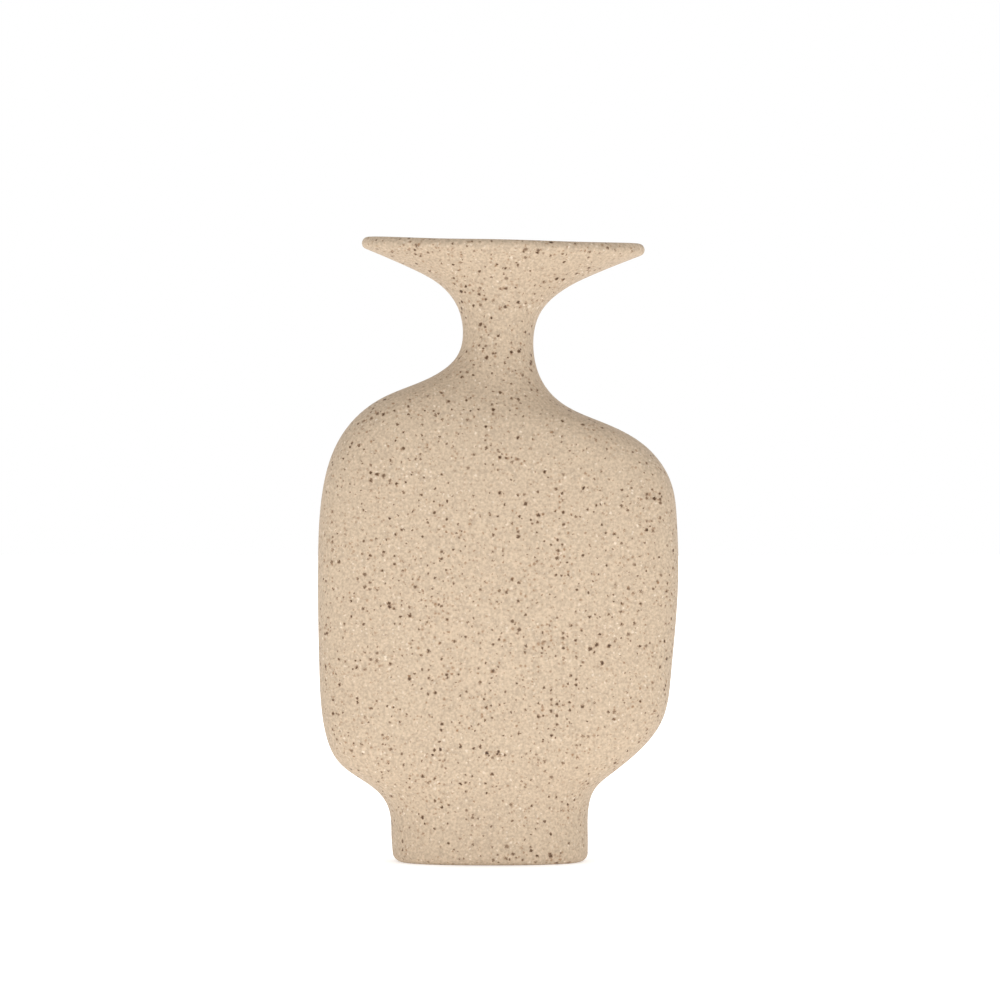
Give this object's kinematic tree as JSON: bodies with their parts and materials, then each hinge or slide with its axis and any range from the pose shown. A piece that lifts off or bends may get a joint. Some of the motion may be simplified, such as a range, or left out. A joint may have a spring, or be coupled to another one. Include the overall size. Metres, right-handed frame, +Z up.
{
  "type": "stoneware vase",
  "caption": "Flattened flask-shaped stoneware vase with a lopsided slab body, oval foot, narrow neck and wide flat flared rim",
  "frame": {"origin": "centre of the bounding box at table level, midway across the body and in the seam plane", "axes": "+Z up towards the mouth, +X to the right as seen from the front, -Y towards the front face"},
  "size_m": [0.17, 0.071, 0.2954],
  "materials": {
    "speckled_stoneware": "matte",
    "bare_stoneware": "matte"
  },
  "bodies": {
    "root": {"foot_wall": "speckled_stoneware", "base_slab": "bare_stoneware", "front_shell": "speckled_stoneware", "back_shell": "speckled_stoneware", "neck_collar": "speckled_stoneware", "flared_rim": "speckled_stoneware"}
  },
  "joints": []
}
